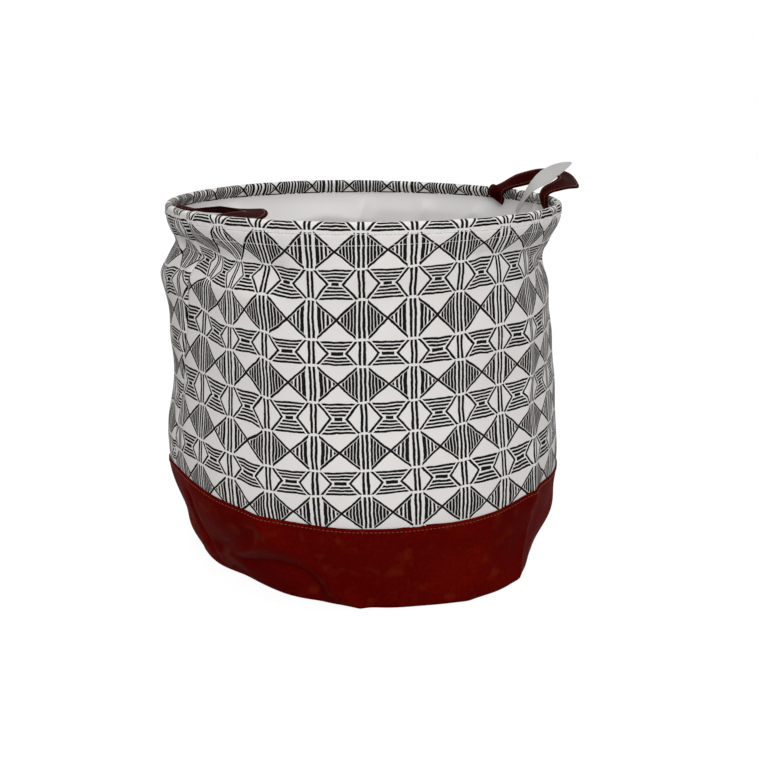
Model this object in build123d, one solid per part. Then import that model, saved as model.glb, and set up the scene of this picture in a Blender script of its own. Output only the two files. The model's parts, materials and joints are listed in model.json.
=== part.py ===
from build123d import *
import math
import os

# A round fabric storage bin: printed canvas walls above a leather-look band and base, a pale liner,
# a sprung wire hoop in the hem, two strap handles and a blank sewn-in label.
# Millimetres. The origin is the middle of the base on the floor, +Z is up, +X points at the right-hand
# handle and -Y is the front. Turns are degrees about +Z from +X.

# Overall form
BIN_HEIGHT = 374.0  # floor to the top of the hem
RIM_RADIUS = 200.0  # outside of the hem
HEM_HEIGHT = 11.0  # upright depth of the folded hem
BASE_RADIUS = 177.0  # canvas face carried down to the floor
BELLY_RADIUS = 206.0  # fullest ring of the wall
BELLY_RISE = 15.0  # fullest ring above the band's top edge
WAIST_RADIUS = 197.5  # canvas half-way between the belly and the neck
NECK_RADIUS = 193.5  # canvas where it draws in under the hem
NECK_DROP = 24.0  # neck below the hem
BAND_HEIGHT = 100.0  # floor to the top edge of the leather band
BAND_LAP = 10.0  # canvas tucked behind the band

# Cloth, tape and thread
CANVAS_THICK = 1.0
LINER_THICK = 0.6
LEATHER_THICK = 1.4
THREAD_THICK = 0.6
THREAD_HEIGHT = 0.9
STITCH_INSET = 4.0  # thread line below the band's top edge
HEM_STITCH_RISE = 1.6  # thread line above the hem's lower edge
PLY_GAP = 0.3  # between one ply of cloth and the next
LINER_GAP = 0.6  # between the canvas and the liner that hangs inside it
LAP_GAP = 0.2  # between the canvas and the band sewn over it
SEAM_GAP = 0.3  # between the front and back halves at the side seams

# Slack of the cloth: how far each swell stands out or each dent goes in, and how far it spreads upwards
SHOULDER_SWELL = 9.0
SHOULDER_DROP = 66.0  # swell below the hem
SHOULDER_SPREAD = 28.0
NECK_DENT = 11.0
NECK_DENT_DROP = 48.0  # dent below the hem
NECK_DENT_SPREAD = 23.0
FOOT_TUCK = 17.0
FOOT_CORNER = 13.0
FOOT_SPREAD = 46.0

# Wire hoop
WIRE_RADIUS = 2.0
FERRULE_WALL = 0.5
FERRULE_LENGTH = 36.0
FERRULE_GAP = 0.1  # wire to ferrule
CASING_GAP = 0.2  # ferrule to hem
WIRE_ENDS_GAP = 1.0  # between the wire's two ends, inside the ferrule

# Strap handles
STRAP_WIDTH = 25.0
STRAP_THICK = 2.4
HANDLE_SPAN = 117.0  # middle of one end to the middle of the other
HANDLE_REACH = 72.0  # fold to the middle of the grip
RIGHT_ARCH = 12.0  # rise of the right loop over a straight line
LEFT_ARCH = 7.0
RIGHT_LEAN_ANGLE = 85.0  # lean of each loop from upright towards +X, degrees
LEFT_LEAN_ANGLE = 94.0
FOLD_GAP = 0.3  # between a strap's sewn end and its free loop
FOLD_TAIL = 1.0  # loop carried back past its fold line
GRIP_TURN = 88.0  # the strap's turn on to its edge in the grip, degrees
LEG_RISE = 2.5  # how steeply a loop leaves its fold, in arches for each reach
LEG_SHARE = 0.4  # part of the loop over which the strap turns
END_SHARE = 0.8  # part of the hem's inner wall that a sewn end covers

# Label
LABEL_WIDTH = 25.0
LABEL_THICK = 0.4
LABEL_Y = 24.0  # sideways from the middle of the right handle
LABEL_RISE = 30.0  # tip above the top of the hem
LABEL_REACH = 53.0  # tip outwards from the outside of the hem
LABEL_TWIST = 50.0  # degrees

# Heights and rings that follow from the sizes above
hem_bottom = BIN_HEIGHT - HEM_HEIGHT
neck_height = hem_bottom - NECK_DROP
belly_height = BAND_HEIGHT + BELLY_RISE
waist_height = (belly_height + neck_height) / 2
canvas_bottom = BAND_HEIGHT - BAND_LAP
canvas_top = hem_bottom - PLY_GAP
liner_bottom = LEATHER_THICK + PLY_GAP
ferrule_radius = WIRE_RADIUS + FERRULE_GAP + FERRULE_WALL
casing_radius = ferrule_radius + CASING_GAP
fold_radius = casing_radius + CANVAS_THICK
hoop_radius = RIM_RADIUS - fold_radius
hoop_height = BIN_HEIGHT - fold_radius
pinch_radius = RIM_RADIUS - 2 * CANVAS_THICK - PLY_GAP
end_face = hoop_radius - fold_radius - PLY_GAP
end_turn = math.degrees(math.asin(HANDLE_SPAN / 2 / end_face))
end_sweep = math.degrees(STRAP_WIDTH / end_face)
end_corner = (end_face - STRAP_THICK) * math.cos(math.radians(end_turn + end_sweep / 2))
hinge_height = BIN_HEIGHT + FOLD_GAP + STRAP_THICK / 2
hinge_x = end_corner - FOLD_GAP - STRAP_THICK / 2

# Offsets from the canvas face: outwards is positive
CANVAS = (0.0, -CANVAS_THICK)
LINER = (-CANVAS_THICK - LINER_GAP, -CANVAS_THICK - LINER_GAP - LINER_THICK)
LEATHER = (LAP_GAP + LEATHER_THICK, LAP_GAP)
THREAD = (LEATHER[0] + LAP_GAP + THREAD_THICK, LEATHER[0] + LAP_GAP)
FRONT = 180.0
BACK = 0.0

# Swells and dents: depth, turn, spread of the turn, height, spread of the height
SLACK = [
    (SHOULDER_SWELL, 168.0, 26.0, hem_bottom - SHOULDER_DROP, SHOULDER_SPREAD),
    (-NECK_DENT, -31.0, 26.0, hem_bottom - NECK_DENT_DROP, NECK_DENT_SPREAD),
    (-FOOT_TUCK, -147.0, 36.0, 0.0, FOOT_SPREAD),
    (FOOT_CORNER, -64.0, 24.0, 0.0, FOOT_SPREAD),
]


def ease(share):
    """Smooth step from 0 to 1."""
    share = min(max(share, 0.0), 1.0)
    return share * share * (3.0 - 2.0 * share)


def profile(height):
    """Radius of the canvas face at a height, before its slack."""
    rings = [
        (0.0, BASE_RADIUS),
        (belly_height, BELLY_RADIUS),
        (waist_height, WAIST_RADIUS),
        (neck_height, NECK_RADIUS),
        (hem_bottom, RIM_RADIUS - PLY_GAP),
    ]
    for (low, inner), (high, outer) in zip(rings, rings[1:]):
        if height <= high:
            break
    return inner + (outer - inner) * ease((height - low) / (high - low))


def wall(turn, height):
    """Radius of the canvas face at a turn and a height."""
    radius = profile(height)
    for depth, at_turn, turn_spread, at_height, height_spread in SLACK:
        off_turn = (turn - at_turn + 180.0) % 360.0 - 180.0
        off_height = height - at_height
        radius += depth * math.exp(-((off_turn / turn_spread) ** 2) - (off_height / height_spread) ** 2)
    return radius


def wall_point(turn, height, offset):
    """Point on the wall, offset outwards from the canvas face."""
    radius = wall(turn, height) + offset
    return Vector(radius * math.cos(math.radians(turn)), radius * math.sin(math.radians(turn)), height)


def half_ring(start, height, offsets, steps=28):
    """Face of half the wall's ply at a height, from one side seam round to the other."""
    margin = math.degrees(SEAM_GAP / 2 / RIM_RADIUS)
    shares = [i / steps for i in range(steps + 1)]
    turns = [start + margin + (180.0 - 2 * margin) * share for share in shares]
    outer = [wall_point(turn, height, offsets[0]) for turn in turns]
    inner = [wall_point(turn, height, offsets[1]) for turn in reversed(turns)]
    edges = [
        Edge.make_spline(outer, parameters=shares),
        Edge.make_line(outer[-1], inner[0]),
        Edge.make_spline(inner, parameters=shares),
        Edge.make_line(inner[-1], outer[0]),
    ]
    return Face(Wire(edges))


def half_wall(start, low, high, offsets, levels=32):
    """Half of one ply of the wall, lofted through the wall's levels between two heights."""
    step = BIN_HEIGHT / levels
    heights = [step * i for i in range(levels)]
    inside = [height for height in heights if low + step / 3 < height < high - step / 3]
    return loft([half_ring(start, height, offsets) for height in [low, *inside, high]])


def floor_disc(low, thick, outline_height, offset, steps=56):
    """Flat disc whose outline is the wall's own at a height, offset outwards."""
    turns = [360.0 * i / steps for i in range(steps)]
    points = [wall_point(turn, outline_height, offset) for turn in turns]
    rim = Edge.make_spline([Vector(p.X, p.Y, low) for p in points], periodic=True)
    return extrude(Face(Wire([rim])), thick, dir=(0, 0, 1))


def ring_part(section, start, sweep):
    """A section in the XZ plane turned about the bin's axis, from one turn through another."""
    return revolve(section.rotate(Axis.Z, start), Axis.Z, sweep)


def section_point(radius, height):
    return Vector(radius, 0, height)


def hem_point(radius, turn):
    """Point round the hoop's wire, at a radius from it and a turn in degrees up from outwards."""
    turn = math.radians(turn)
    return section_point(hoop_radius + radius * math.cos(turn), hoop_height + radius * math.sin(turn))


def tangent_turn(radius, pinch):
    """Turn at which the hem's inner wall leaves its fold for the pinched seam below."""
    foot = section_point(pinch, hem_bottom) - section_point(hoop_radius, hoop_height)
    return math.degrees(math.atan2(foot.Z, foot.X) - math.acos(radius / foot.length)) + 360.0


def hem_section():
    """The folded hem seen end on: an upright outer wall, a round fold and an inner wall drawn in to it."""

    def fold(radius, outside, pinch):
        """Outline of one face of the cloth, closed straight across the bottom."""
        leave = tangent_turn(radius, pinch)
        foot_out = section_point(outside, hem_bottom)
        foot_in = section_point(pinch, hem_bottom)
        start, crown, end = (hem_point(radius, turn) for turn in (0.0, 90.0, leave))
        edges = [
            Edge.make_line(foot_out, start),
            Edge.make_three_point_arc(start, crown, end),
            Edge.make_line(end, foot_in),
            Edge.make_line(foot_in, foot_out),
        ]
        return Face(Wire(edges))

    cloth = fold(fold_radius, RIM_RADIUS, pinch_radius)
    hollow = fold(casing_radius, RIM_RADIUS - CANVAS_THICK, pinch_radius + CANVAS_THICK)
    return (cloth - hollow).face()


def hem_casing(start):
    margin = math.degrees(SEAM_GAP / 2 / RIM_RADIUS)
    return ring_part(hem_section(), start + margin, 180.0 - 2 * margin)


def wire_section(radius):
    return Face(Wire.make_circle(radius, Plane(origin=(hoop_radius, 0, hoop_height), z_dir=(0, 1, 0))))


def hoop_wire():
    """The sprung wire, an open ring whose two ends meet at the back."""
    gap = math.degrees(WIRE_ENDS_GAP / hoop_radius)
    return ring_part(wire_section(WIRE_RADIUS), 90.0 + gap / 2, 360.0 - gap)


def hoop_ferrule():
    """The sleeve crimped over the wire's two ends."""
    sweep = math.degrees(FERRULE_LENGTH / hoop_radius)
    sleeve = wire_section(ferrule_radius) - wire_section(WIRE_RADIUS + FERRULE_GAP)
    return ring_part(sleeve.face(), 90.0 - sweep / 2, sweep)


def hem_topstitch():
    """The thread line round the outside of the hem, just above its lower edge."""
    low = hem_bottom + HEM_STITCH_RISE
    inner = RIM_RADIUS + LAP_GAP
    corners = [
        section_point(inner, low),
        section_point(inner + THREAD_THICK, low),
        section_point(inner + THREAD_THICK, low + THREAD_HEIGHT),
        section_point(inner, low + THREAD_HEIGHT),
    ]
    return ring_part(Face(Wire.make_polygon(corners)), 0.0, 360.0)


def band_topstitch(start):
    """Half of the thread line round the band, just below its top edge."""
    low = BAND_HEIGHT - STITCH_INSET
    return half_wall(start, low, low + THREAD_HEIGHT, THREAD)


def sewn_end(side, towards):
    """A strap's sewn end: it comes out of the seam below the hem and lies up the hem's inner face."""
    leave = tangent_turn(fold_radius, pinch_radius)
    down = (section_point(pinch_radius, hem_bottom) - hem_point(fold_radius, leave)) * END_SHARE
    top = Vector(0, 0, fold_radius)
    outer = fold_radius + PLY_GAP
    inner = outer + STRAP_THICK
    bend = (180.0 + leave) / 2
    edges = [
        Edge.make_line(hem_point(outer, leave) + down, hem_point(outer, leave)),
        Edge.make_three_point_arc(hem_point(outer, leave), hem_point(outer, bend), hem_point(outer, 180.0)),
        Edge.make_line(hem_point(outer, 180.0), hem_point(outer, 180.0) + top),
        Edge.make_line(hem_point(outer, 180.0) + top, hem_point(inner, 180.0) + top),
        Edge.make_line(hem_point(inner, 180.0) + top, hem_point(inner, 180.0)),
        Edge.make_three_point_arc(hem_point(inner, 180.0), hem_point(inner, bend), hem_point(inner, leave)),
        Edge.make_line(hem_point(inner, leave), hem_point(inner, leave) + down),
        Edge.make_line(hem_point(inner, leave) + down, hem_point(outer, leave) + down),
    ]
    middle = towards * end_turn if side > 0 else 180.0 - towards * end_turn
    return ring_part(Face(Wire(edges)), middle - end_sweep / 2, end_sweep)


def ribbon(path, width, thick, upright, turn_at, steps=20):
    """A flat strip along a path. turn_at gives its turn, in degrees, from lying flat on to its edge."""
    sections = []
    for i in range(steps + 1):
        share = i / steps
        middle = path @ share
        along = path % share
        flat = along.cross(upright).normalized()
        standing = flat.cross(along).normalized()
        turn = math.radians(turn_at(share))
        across = flat * math.cos(turn) + standing * math.sin(turn)
        face_way = along.cross(across).normalized()
        corners = [
            middle + across * (a * width / 2) + face_way * (b * thick / 2)
            for a, b in ((-1, -1), (1, -1), (1, 1), (-1, 1))
        ]
        sections.append(Face(Wire.make_polygon(corners)))
    return loft(sections)


def handle_strap(side, lean, arch):
    """A strap loop: flat at its two folds, arched between, and turned on to its edge in the grip."""
    lean = math.radians(lean)
    fold = Vector(side * hinge_x, 0, hinge_height)
    out = Vector(math.sin(lean), 0, math.cos(lean))
    upright = Vector(-math.cos(lean), 0, math.sin(lean))
    leave = out * HANDLE_REACH + upright * (LEG_RISE * arch)
    tail = leave.normalized() * -FOLD_TAIL
    # Shares of the reach, the half span and the arch, from a fold to the middle of the grip
    leg = [(0.0, 1.0, 0.0), (0.2, 1.0, 0.5), (0.48, 0.99, 1.0), (0.76, 0.82, 0.95), (0.94, 0.45, 0.5)]
    loop = leg + [(1.0, 0.0, 0.3)] + [(reach, -half, rise) for reach, half, rise in reversed(leg)]
    half_span = Vector(0, HANDLE_SPAN / 2, 0)
    points = [
        fold + out * (reach * HANDLE_REACH) - half_span * half + upright * (rise * arch)
        for reach, half, rise in loop
    ]
    path = Spline([points[0] + tail, *points, points[-1] + tail], tangents=[leave, -leave])

    def turn_at(share):
        return GRIP_TURN * ease(min(share, 1.0 - share) / LEG_SHARE)

    return ribbon(path, STRAP_WIDTH, STRAP_THICK, upright, turn_at)


def care_label():
    """A blank tape from the seam beside the right handle, up the hem and out over the strap."""
    root_x = math.sqrt((end_face - LABEL_THICK) ** 2 - (LABEL_Y + LABEL_WIDTH / 2) ** 2)
    # Shares of the way out from the hem's inner face to the tip, and heights above or below the hem's top
    tip_x = RIM_RADIUS + LABEL_REACH
    up_hem = [(0.0, -HEM_HEIGHT / 2), (0.0, HEM_HEIGHT / 4)]
    outwards = [(0.2, 0.55), (0.5, 0.86), (0.78, 0.97), (1.0, 1.0)]
    rises = up_hem + [(out, rise * LABEL_RISE) for out, rise in outwards]
    points = []
    for out, rise in rises:
        points.append(Vector(root_x + (tip_x - root_x) * out, LABEL_Y, BIN_HEIGHT + rise))
    path = Spline(points, tangents=[(0, 0, 1), (1, 0, 0)])

    def turn_at(share):
        return -LABEL_TWIST * math.sin(math.pi * share) ** 2

    return ribbon(path, LABEL_WIDTH, LABEL_THICK, Vector(-1, 0, 1), turn_at)


parts = {
    "canvas_front_panel": [half_wall(FRONT, canvas_bottom, canvas_top, CANVAS)],
    "canvas_back_panel": [half_wall(BACK, canvas_bottom, canvas_top, CANVAS)],
    "liner_front_panel": [half_wall(FRONT, liner_bottom + LINER_THICK, canvas_top, LINER)],
    "liner_back_panel": [half_wall(BACK, liner_bottom + LINER_THICK, canvas_top, LINER)],
    "liner_base": [floor_disc(liner_bottom, LINER_THICK, liner_bottom + LINER_THICK, LINER[0])],
    "leather_front_band": [half_wall(FRONT, LEATHER_THICK, BAND_HEIGHT, LEATHER)],
    "leather_back_band": [half_wall(BACK, LEATHER_THICK, BAND_HEIGHT, LEATHER)],
    "leather_base": [floor_disc(0.0, LEATHER_THICK, LEATHER_THICK, LEATHER[0])],
    "band_topstitch": [band_topstitch(FRONT), band_topstitch(BACK)],
    "hem_front_casing": [hem_casing(FRONT)],
    "hem_back_casing": [hem_casing(BACK)],
    "hoop_wire": [hoop_wire()],
    "hoop_ferrule": [hoop_ferrule()],
    "hem_topstitch": [hem_topstitch()],
    "left_handle_ends": [sewn_end(-1, towards) for towards in (-1, 1)],
    "right_handle_ends": [sewn_end(1, towards) for towards in (-1, 1)],
    "left_handle_strap": [handle_strap(-1, LEFT_LEAN_ANGLE, LEFT_ARCH)],
    "right_handle_strap": [handle_strap(1, RIGHT_LEAN_ANGLE, RIGHT_ARCH)],
    "care_label": [care_label()],
}

os.makedirs("parts", exist_ok=True)
for name, solids in parts.items():
    shape = solids[0] if len(solids) == 1 else Compound(children=solids)
    export_step(shape, f"parts/{name}.step")
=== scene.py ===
import json
import math
import bmesh
import bpy
import numpy as np
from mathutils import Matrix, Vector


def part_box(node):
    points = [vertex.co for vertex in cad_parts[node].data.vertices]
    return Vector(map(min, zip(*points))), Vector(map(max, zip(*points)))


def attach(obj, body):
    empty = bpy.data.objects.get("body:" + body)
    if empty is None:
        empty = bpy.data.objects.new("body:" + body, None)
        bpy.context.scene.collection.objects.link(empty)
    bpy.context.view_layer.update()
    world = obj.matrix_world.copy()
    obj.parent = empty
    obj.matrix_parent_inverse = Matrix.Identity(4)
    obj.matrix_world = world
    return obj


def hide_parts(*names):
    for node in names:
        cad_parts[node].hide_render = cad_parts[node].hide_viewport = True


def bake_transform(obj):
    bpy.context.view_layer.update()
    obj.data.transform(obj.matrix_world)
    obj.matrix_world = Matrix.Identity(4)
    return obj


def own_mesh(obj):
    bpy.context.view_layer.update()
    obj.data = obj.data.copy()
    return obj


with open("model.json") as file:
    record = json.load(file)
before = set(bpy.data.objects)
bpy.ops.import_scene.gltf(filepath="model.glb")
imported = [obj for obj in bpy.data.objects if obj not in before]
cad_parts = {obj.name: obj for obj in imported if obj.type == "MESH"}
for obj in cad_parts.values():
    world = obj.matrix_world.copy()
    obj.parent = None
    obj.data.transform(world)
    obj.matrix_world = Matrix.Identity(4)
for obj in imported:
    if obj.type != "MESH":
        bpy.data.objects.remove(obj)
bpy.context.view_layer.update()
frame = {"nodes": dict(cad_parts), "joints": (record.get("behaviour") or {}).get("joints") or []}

# The leather foot: two bands of dark leather-look cloth, sewn together at the side seams and turned in
# under a round bottom. It has no stiff board, so it stands slack, tucked in at the left of the front and
# pushed out to a corner at the right, with soft creases between.
hem_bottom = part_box("hem_front_casing")[0][2]
rim_radius = -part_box("hem_front_casing")[0][1]
band_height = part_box("leather_front_band")[1][2]
degree_length = math.radians(1.0) * rim_radius  # of one degree round the rim
LEATHER_THICK = 0.0014
LAP_GAP = 0.0002  # between the leather and the canvas behind it
LEATHER_FACE = LAP_GAP + LEATHER_THICK  # from the canvas face out to the leather's
FLOOR_GAP = 0.0002
FOOT_ROUND = 0.008  # radius of the turn under the foot
BOTTOM_TOP = 0.0016  # height of the bottom's upper face
BOTTOM_LAP = 0.0006  # of the bottom, out past the end of that turn
HEM_PROUD = 0.0003  # of the hem's face over the canvas under it
HEM_HOLD = 0.020  # height below the hem over which its hoop draws the wall taut
SEAM_TWIST = 15.0  # degrees that the left side seam goes round, from the band up to the hem
LEATHER_RED = (0.125, 0.0032, 0.0007, 1.0)
LEATHER_DARK = (0.077, 0.0010, 0.0006, 1.0)
LEATHER_WORN = (0.165, 0.024, 0.006, 1.0)
# Rings of the wall: height and radius of the canvas face
RINGS = [
    (0.0, 0.177),
    (band_height + 0.015, 0.206),
    (0.227, 0.1975),
    (hem_bottom - 0.024, 0.1935),
    (hem_bottom, rim_radius - HEM_PROUD),
]
# Swells and dents: depth, turn in degrees, spread of the turn, height, spread of the height
SWELLS = [
    (0.009, 168, 26, 0.297, 0.028),
    (-0.011, -31, 26, 0.315, 0.023),
    (0.005, -102, 25, 0.336, 0.022),
    (-0.003, -36, 13, 0.19, 0.08),
    (-0.017, -147, 36, 0.0, 0.046),
    (0.013, -64, 24, 0.0, 0.046),
    (0.006, 62, 20, 0.275, 0.04),
    (-0.006, 96, 22, 0.318, 0.026),
    (0.005, 128, 24, 0.06, 0.045),
    (-0.006, 40, 22, 0.03, 0.04),
    (0.013, -25, 16, 0.044, 0.03),
    (0.0072, 168, 22, 0.03, 0.02),
    (-0.0055, 200, 11, 0.004, 0.016),
    (0.0032, 168, 22, 0.146, 0.026),
    (0.0035, 168, 24, 0.245, 0.026),
    (-0.0045, -28, 18, 0.268, 0.022),
    (0.0035, -28, 18, 0.19, 0.03),
]
# Creases: depth, half width, sharpness, and the line each follows as turns in degrees and heights
CREASES = [
    (-0.0075, 0.012, 1.6, [(183, 0.334), (197, 0.332), (208, 0.334), (217, 0.333), (226, 0.328)]),
    (-0.0045, 0.01, 1.6, [(148, 0.338), (176, 0.336)]),
    (0.004, 0.013, 1.8, [(166, 0.305), (193, 0.311), (212, 0.308), (223, 0.301)]),
    (-0.0045, 0.01, 1.5, [(-77, 0.34), (-66, 0.3376), (-57, 0.335), (-51, 0.327), (-31, 0.317)]),
    (0.0034, 0.011, 1.2, [(-60, 0.262), (-58, 0.216), (-61, 0.196), (-57, 0.15), (-58, 0.095)]),
    (-0.006, 0.006, 1.2, [(189, 0.09), (188, 0.078), (187, 0.06), (187, 0.03)]),
    (0.006, 0.01, 1.5, [(194, 0.02), (204, 0.038), (213, 0.055), (221, 0.067)]),
    (-0.0055, 0.009, 1.5, [(193, 0.034), (204, 0.053), (218, 0.079)]),
    (-0.0095, 0.009, 1.5, [(208, 0.031), (216, 0.038), (222, 0.04), (230, 0.036), (234, 0.018)]),
    (0.005, 0.012, 1.6, [(221, 0.09), (226, 0.071), (231, 0.058), (237, 0.04), (241, 0.029)]),
    (0.006, 0.009, 1.5, [(239, 0.02), (244, 0.012), (248, 0.004)]),
    (0.003, 0.012, 1.3, [(-78, 0.004), (-75, 0.05), (-73, 0.085)]),
    (0.003, 0.01, 1.2, [(-56, 0.004), (-55, 0.045), (-57, 0.095)]),
    (-0.004, 0.008, 1.4, [(20, 0.02), (34, 0.048), (47, 0.052)]),
    (0.004, 0.01, 1.4, [(96, 0.01), (104, 0.045), (116, 0.07)]),
    (-0.004, 0.009, 1.4, [(142, 0.015), (150, 0.04), (163, 0.05)]),
    (-0.005, 0.01, 1.5, [(68, 0.33), (84, 0.336), (104, 0.326), (118, 0.314)]),
]
# Fine ripples, each of two waves that cross: depth, count round the wall, lean with the height and start of
# the first wave, then count and lean of the second
RIPPLES = [(0.0011, 7, 9.0, 0.0, 2, 14.0), (0.0006, 17, -31.0, 1.0, 3, 23.0)]
# Rises and dips of the band's top edge: height, turn in degrees, spread of the turn
BAND_EDGE = [(0.014, 186, 27), (-0.005, -96, 34), (0.0065, -55, 13)]


def ease(share):
    """Smooth step from 0 to 1."""
    share = np.clip(share, 0.0, 1.0)
    return share * share * (3.0 - 2.0 * share)


def bell(off, spread):
    """1 in the middle, dying away on both sides."""
    return np.exp(-((off / spread) ** 2))


def turn_from(turn, start):
    """Degrees from one turn to another, by the shorter way."""
    return (turn - start + 180.0) % 360.0 - 180.0


def crease(turn, height, depth, width, sharpness, line):
    """A fold's depth at points of the wall: full along its line, and dying away on both sides of it."""
    nearest = np.full(np.shape(turn), np.inf)
    for (turn_a, height_a), (turn_b, height_b) in zip(line, line[1:]):
        run = (turn_b - turn_a) * degree_length
        climb = height_b - height_a
        off = turn_from(turn, turn_a) * degree_length
        rise = height - height_a
        along = np.clip((off * run + rise * climb) / (run * run + climb * climb), 0.0, 1.0)
        nearest = np.minimum(nearest, np.hypot(off - along * run, rise - along * climb))
    return depth * np.exp(-((nearest / width) ** sharpness))


def wall(turn, height):
    """Radius of the canvas face, with all its slack, at turns and heights."""
    radius = np.full(np.shape(turn), RINGS[0][1])
    for (low, inner), (high, outer) in zip(RINGS, RINGS[1:]):
        radius = radius + (outer - inner) * ease((height - low) / (high - low))
    slack = np.zeros(np.shape(turn))
    for depth, at_turn, turn_spread, at_height, height_spread in SWELLS:
        slack += depth * bell(turn_from(turn, at_turn), turn_spread) * bell(height - at_height, height_spread)
    for fold in CREASES:
        slack += crease(turn, height, *fold)
    angle = np.radians(turn)
    for depth, count, lean, begin, cross_count, cross_lean in RIPPLES:
        ripple = np.sin(count * angle + lean * height + begin)
        slack += depth * ripple * np.sin(cross_count * angle + cross_lean * height)
    return radius + slack * ease((hem_bottom - height) / HEM_HOLD)


def foot_turn(height):
    """How far the wall draws in where it turns under the foot."""
    low = np.clip(FOOT_ROUND - height, 0.0, FOOT_ROUND)
    return FOOT_ROUND - np.sqrt(FOOT_ROUND**2 - low**2)


def band_edge(turn):
    """Height of the band's top edge, which rides up at the left and the right and dips at the front."""
    edge = band_height
    for rise, at_turn, spread in BAND_EDGE:
        edge = edge + rise * bell(turn_from(turn, at_turn), spread)
    return edge


def seam_turn(height):
    """Turn of the left side seam, which the twist of the canvas carries forwards towards the hem."""
    return 180.0 + SEAM_TWIST * ease((height - band_height) / (hem_bottom - band_height))


def half_grid(front, low, high, rows, columns):
    """Turns and heights over the front or back half of the wall, between two heights."""
    share_round, share_up = np.meshgrid(np.linspace(0, 1, columns), np.linspace(0, 1, rows))
    height = low + (high - low) * share_up
    start = seam_turn(height) if front else np.zeros_like(height)
    end = np.full_like(height, 360.0) if front else seam_turn(height)
    return start + (end - start) * share_round, height


def round_points(turn, radius, height):
    """Points of the bin at turns in degrees, radii and heights."""
    angle = np.radians(turn)
    return np.stack([radius * np.cos(angle), radius * np.sin(angle), height + 0.0 * turn], axis=-1)


def wall_chart(turn, height):
    """Metres round the wall and up it, for a piece without a print."""
    return np.stack([np.radians(turn) * rim_radius, height], axis=-1)


def placed(name, data):
    """A new object of the scene, at the origin."""
    made = bpy.data.objects.new(name, data)
    bpy.context.collection.objects.link(made)
    return made


def mesh_piece(name, points, faces, edges=()):
    """A new object of the scene, made of points and faces or edges."""
    mesh = bpy.data.meshes.new(name)
    mesh.from_pydata(points, edges, faces)
    mesh.shade_smooth()
    return placed(name, mesh)


def grid_piece(name, points, chart):
    """A sheet of quads through rows of points, with the cloth's own coordinates in metres as its UV map."""
    rows, columns = points.shape[:2]
    index = np.arange(rows * columns).reshape(rows, columns)
    corners = [index[:-1, :-1], index[:-1, 1:], index[1:, 1:], index[1:, :-1]]
    quads = np.stack(corners, axis=-1).reshape(-1, 4)
    piece = mesh_piece(name, points.reshape(-1, 3).tolist(), quads.tolist())
    chart_layer = piece.data.uv_layers.new(name="cloth")
    chart_layer.data.foreach_set("uv", chart.reshape(-1, 2)[quads.ravel()].astype(np.float32).ravel())
    return piece


def ring_quads(rows, columns):
    """Faces between closed rings of points, each ring joined to the next."""
    quads = []
    for row in range(rows - 1):
        this, following = row * columns, (row + 1) * columns
        for i in range(columns):
            j = (i + 1) % columns
            quads.append((this + i, this + j, following + j, following + i))
    return quads


def disc_piece(name, outline, height, dish, rings=24):
    """A round sheet inside an outline of points, lying at a height and lifted a little over its middle."""
    count = len(outline)
    shares = np.linspace(1.0, 0.0, rings, endpoint=False)
    loops = [np.column_stack([outline * s, np.full(count, height + dish * (1.0 - s))]) for s in shares]
    points = np.concatenate(loops + [np.array([[0.0, 0.0, height + dish]])])
    last = (rings - 1) * count
    middle = [(last + i, last + (i + 1) % count, len(points) - 1) for i in range(count)]
    return mesh_piece(name, points.tolist(), ring_quads(rings, count) + middle)


def make_cloth(sheet, thick, cloth):
    """Gives a sheet its material, and its thickness inwards from the face that shows."""
    solidify = sheet.modifiers.new("thickness", "SOLIDIFY")
    solidify.thickness = thick
    solidify.offset = -1.0
    sheet.data.materials.append(cloth)


def maths(operation):
    """A method that makes a maths node of a value, and of another value or a number."""
    chosen = {"operation": operation}
    return lambda value, other=0.0: value.node("ShaderNodeMath", {0: value, 1: other}, chosen)


class Value:
    """A socket of a node tree, so that its maths reads as plain expressions."""

    def __init__(self, tree, socket=None):
        self.tree = tree
        self.socket = socket

    def node(self, kind, inputs=None, settings=None, output=0):
        """A node of any kind: its settings first, then the values or links of its sockets."""
        made = self.tree.nodes.new(kind)
        for name, setting in (settings or {}).items():
            setattr(made, name, setting)
        for name, value in (inputs or {}).items():
            if isinstance(value, Value):
                self.tree.links.new(value.socket, made.inputs[name])
            else:
                made.inputs[name].default_value = value
        return Value(self.tree, made.outputs[output])

    __add__ = __radd__ = maths("ADD")
    __sub__ = maths("SUBTRACT")
    __mul__ = __rmul__ = maths("MULTIPLY")
    __truediv__ = maths("DIVIDE")
    __mod__ = maths("FLOORED_MODULO")
    __lt__ = maths("LESS_THAN")
    __gt__ = maths("GREATER_THAN")
    __abs__ = maths("ABSOLUTE")
    least = maths("MINIMUM")
    most = maths("MAXIMUM")
    sine = maths("SINE")

    def __rsub__(self, other):
        return self.node("ShaderNodeMath", {0: other, 1: self}, {"operation": "SUBTRACT"})

    def axis(self, index):
        """One of the three parts of a place or a colour."""
        return self.node("ShaderNodeSeparateXYZ", {0: self}, None, index)

    def share(self):
        """Held between 0 and 1."""
        return self.node("ShaderNodeClamp", {"Value": self})

    def between(self, first, second):
        """Colour from the first to the second as this value goes from 0 to 1."""
        return self.node("ShaderNodeMix", {0: self, 6: first, 7: second}, {"data_type": "RGBA"}, 2)

    def into(self, socket):
        self.tree.links.new(self.socket, socket)


def material(name, **constants):
    """A material with its shader's constants set, then its shader and a value to start from."""
    made = bpy.data.materials.new(name)
    made.use_nodes = True
    shader = made.node_tree.nodes["Principled BSDF"]
    for socket, value in constants.items():
        shader.inputs[socket.replace("_", " ")].default_value = value
    return made, shader, Value(made.node_tree)


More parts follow.
